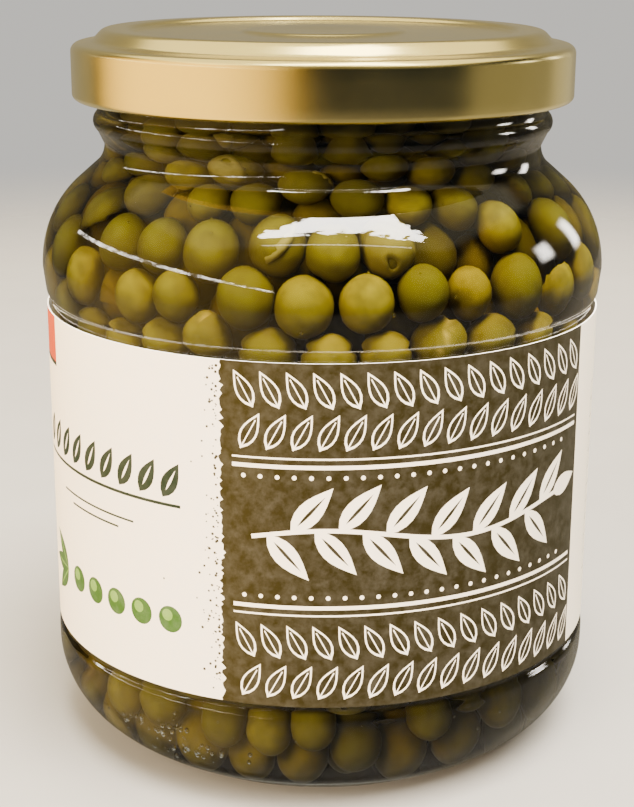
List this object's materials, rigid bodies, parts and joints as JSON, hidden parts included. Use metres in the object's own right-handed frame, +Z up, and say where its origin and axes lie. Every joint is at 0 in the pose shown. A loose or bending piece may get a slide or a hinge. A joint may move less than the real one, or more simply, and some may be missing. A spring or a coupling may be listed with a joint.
{
  "type": "glass jar of peas",
  "caption": "Round glass jar with rounded shoulder and threaded neck, filled with peas in brine, with a wrap-round paper label and a twist-off metal lid.",
  "frame": {"origin": "centre of the jar's base, on the surface that it stands on", "axes": "+Z up along the jar's axis, -Y towards the printed front of the label, +X to the right of that front"},
  "size_m": [0.0808, 0.0808, 0.1025],
  "materials": {
    "clear_glass": "clear, fire-polished",
    "gold_lacquered_tinplate": "satin gold lacquer over tinplate",
    "sealing_compound": "matt, cast in the lid",
    "coated_paper": "semi-matt, printed",
    "cooked_pea": "smooth wet skin, some dented",
    "brine": "murky olive liquid"
  },
  "bodies": {
    "jar": {"glass_jar": "clear_glass", "paper_label": "coated_paper", "peas": "cooked_pea", "brine": "brine"},
    "seal": {"sealing_ring": "sealing_compound"},
    "lid": {"lid_shell": "gold_lacquered_tinplate"}
  },
  "joints": [
    {"name": "lid_rise", "type": "slide", "parent": "jar", "child": "seal", "axis": [0, 0, 1], "range_m": [0, 0.0014]},
    {"name": "lid_turn", "type": "hinge", "parent": "seal", "child": "lid", "pos_m": [0, 0, 0.1], "axis": [0, 0, 1], "range_deg": [0, 70]}
  ],
  "couplings": [
    {"joint": "lid_turn", "follows": "lid_rise", "rad_per_m": 872.66}
  ]
}
